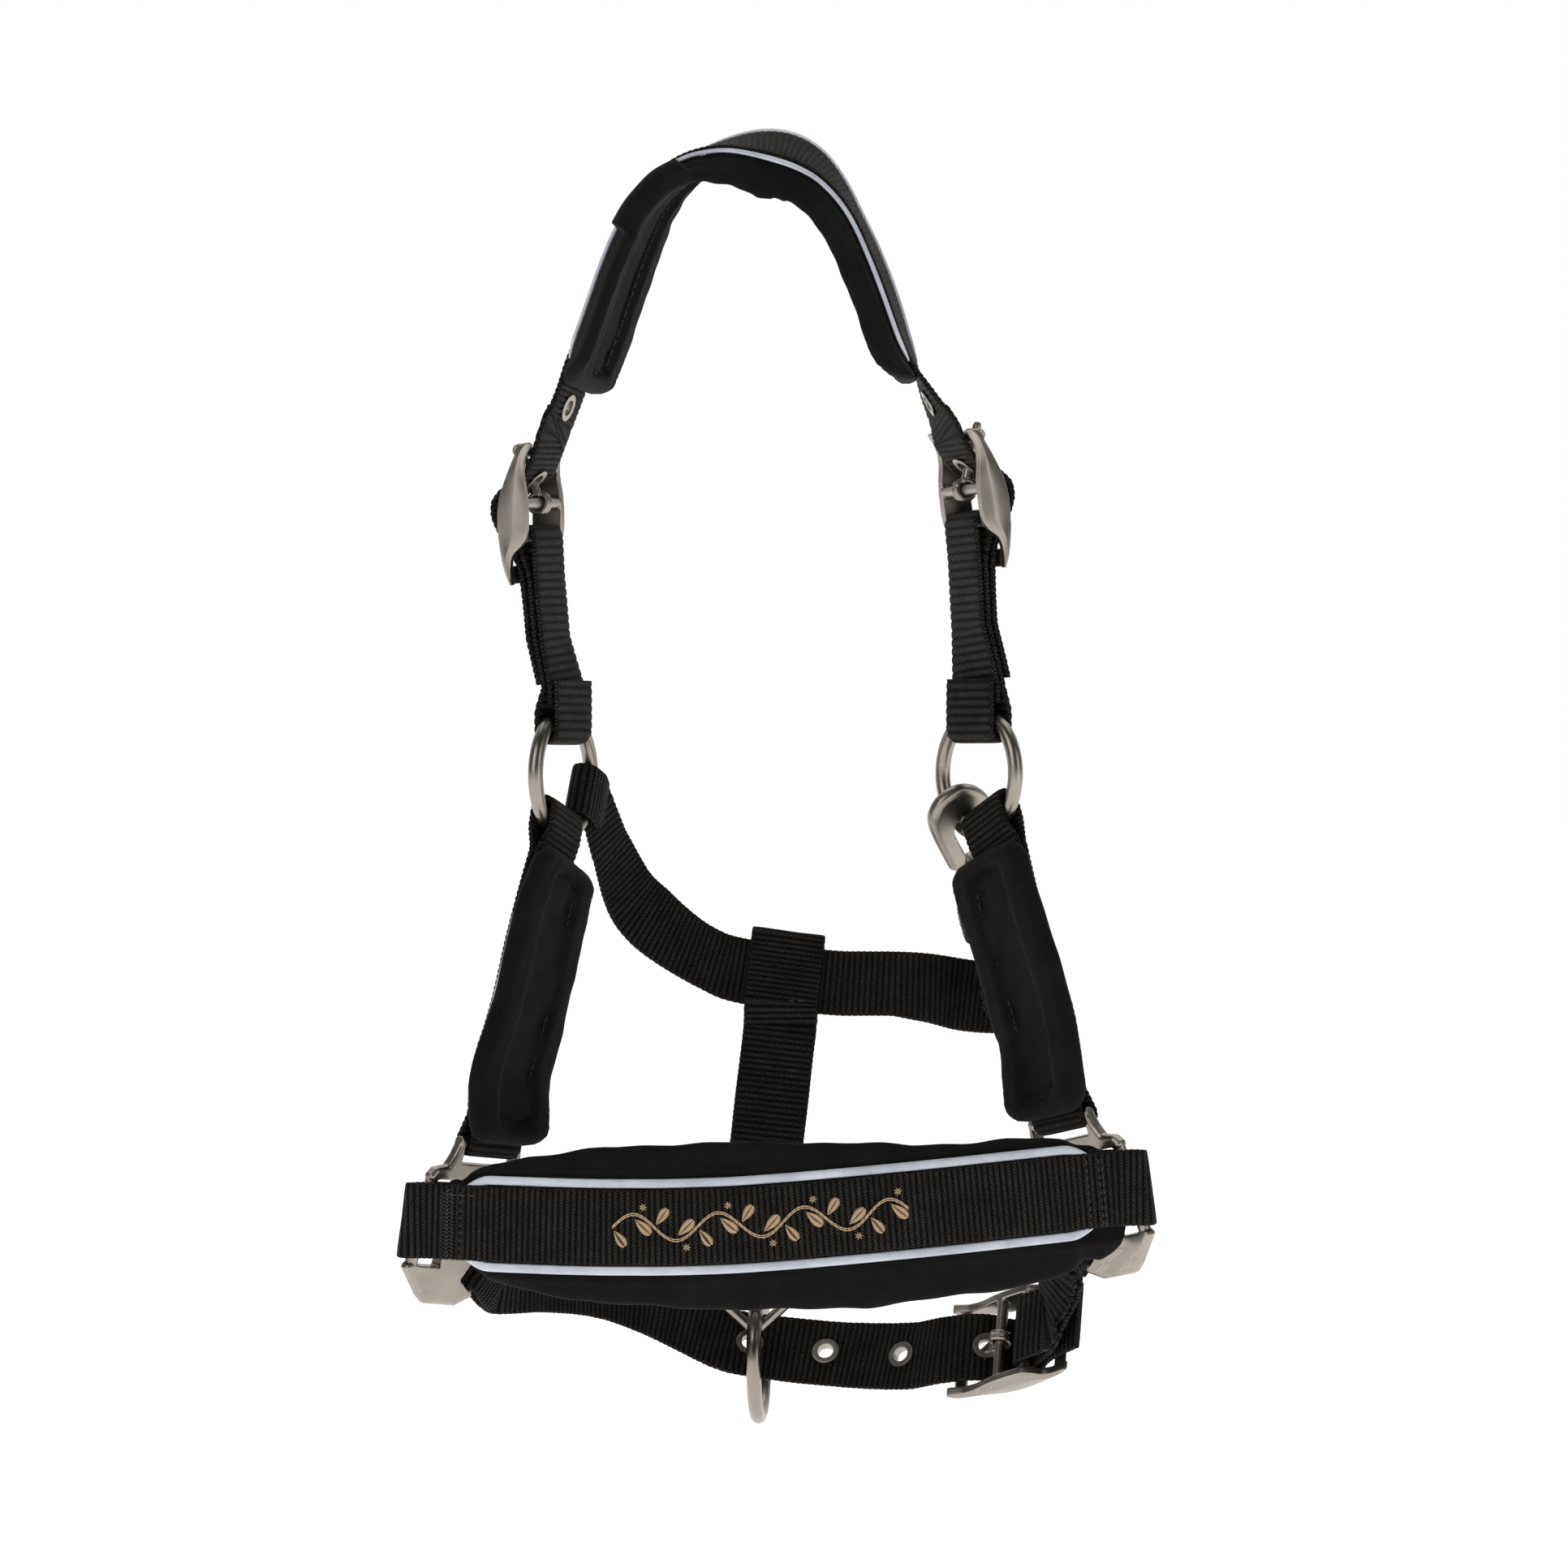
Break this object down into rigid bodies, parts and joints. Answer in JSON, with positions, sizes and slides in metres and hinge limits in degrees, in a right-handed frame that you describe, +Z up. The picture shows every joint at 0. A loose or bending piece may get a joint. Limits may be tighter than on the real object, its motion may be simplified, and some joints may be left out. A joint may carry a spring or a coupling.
{
  "type": "horse headcollar",
  "caption": "Padded webbing headcollar: crown piece with buckles, ring cheek pieces, broad noseband, buckled chin strap, throat strap with a snap and a lead ring.",
  "frame": {"origin": "the poll rest, under the middle of the crown pad, where the headcollar hangs", "axes": "+Z up towards the crown, +Y from the noseband back to the throat strap, +X across the head to the right of a viewer facing the noseband"},
  "size_m": [0.2502, 0.15, 0.4356],
  "materials": {
    "webbing": "ribbed polypropylene webbing",
    "neoprene": "matte knit-faced neoprene",
    "reflective_piping": "silver reflective tape",
    "hardware": "warm satin nickel"
  },
  "bodies": {
    "crown": {"crown_strap": "webbing", "crown_pad": "neoprene", "crown_piping_front": "reflective_piping", "crown_piping_rear": "reflective_piping", "crown_eyelets_left": "hardware", "crown_eyelets_right": "hardware", "crown_buckle_frame_left": "hardware", "crown_buckle_frame_right": "hardware", "upper_cheek_strap_left": "webbing", "upper_cheek_strap_right": "webbing"},
    "lower": {"lower_cheek_strap_left": "webbing", "lower_cheek_strap_right": "webbing", "cheek_pad_left": "neoprene", "cheek_pad_right": "neoprene", "cheek_piping_left": "reflective_piping", "cheek_piping_right": "reflective_piping", "side_fitting_left": "hardware", "side_fitting_right": "hardware", "noseband_strap": "webbing", "noseband_pad": "neoprene", "noseband_piping_upper": "reflective_piping", "noseband_piping_lower": "reflective_piping", "chin_strap": "webbing", "chin_eyelets": "hardware", "chin_buckle_frame": "hardware", "chin_buckle_strap": "webbing", "throat_strap": "webbing", "jowl_strap": "webbing", "snap_body": "hardware", "snap_spring": "hardware"},
    "tongue_left": {"crown_tongue_left": "hardware"},
    "tongue_right": {"crown_tongue_right": "hardware"},
    "tongue_chin": {"chin_tongue": "hardware"},
    "ring_left": {"cheek_ring_left": "hardware"},
    "ring_right": {"cheek_ring_right": "hardware"},
    "lead_ring": {"lead_ring": "hardware"},
    "jowl_dee": {"vee_ring": "hardware"},
    "bolt": {"snap_bolt": "hardware"}
  },
  "joints": [
    {"name": "lower_swing", "type": "hinge", "parent": "crown", "child": "lower", "pos_m": [0, 0, -0.2025], "axis": [1, 0, 0], "range_deg": [-30, 45], "deforming": ["upper_cheek_strap_left", "upper_cheek_strap_right"]},
    {"name": "cheek_ring_left_spin", "type": "hinge", "parent": "lower", "child": "ring_left", "pos_m": [-0.0693, 0, -0.2027], "axis": [0.899, -0.438, 0], "continuous": true},
    {"name": "cheek_ring_right_spin", "type": "hinge", "parent": "lower", "child": "ring_right", "pos_m": [0.0693, 0, -0.2022], "axis": [0.8089, 0.5879, 0], "continuous": true},
    {"name": "lead_ring_swing", "type": "hinge", "parent": "lower", "child": "lead_ring", "pos_m": [-0.0054, 0.0394, -0.3857], "axis": [0, 1, 0], "range_deg": [-20, 20]},
    {"name": "jowl_dee_swing", "type": "hinge", "parent": "lower", "child": "jowl_dee", "pos_m": [-0.0056, 0.0394, -0.3725], "axis": [1, 0, 0], "range_deg": [0, 8]},
    {"name": "crown_tongue_left_hinge", "type": "hinge", "parent": "crown", "child": "tongue_left", "pos_m": [-0.0772, 0, -0.1121], "axis": [-0.3561, -0.9339, -0.0311], "range_deg": [0, 8]},
    {"name": "crown_tongue_right_hinge", "type": "hinge", "parent": "crown", "child": "tongue_right", "pos_m": [0.0644, 0, -0.1077], "axis": [-0.3902, 0.9205, -0.0203], "range_deg": [0, 8]},
    {"name": "chin_tongue_hinge", "type": "hinge", "parent": "lower", "child": "tongue_chin", "pos_m": [0.0768, 0.01, -0.3914], "axis": [-0.08, -0.5009, -0.8618], "range_deg": [0, 8]},
    {"name": "snap_bolt_slide", "type": "slide", "parent": "lower", "child": "bolt", "axis": [0.221, 0.6429, -0.7333], "range_m": [0, 0.007], "stiffness_N_per_m": 300, "springref_m": -0.002, "deforming": ["snap_spring"]}
  ]
}
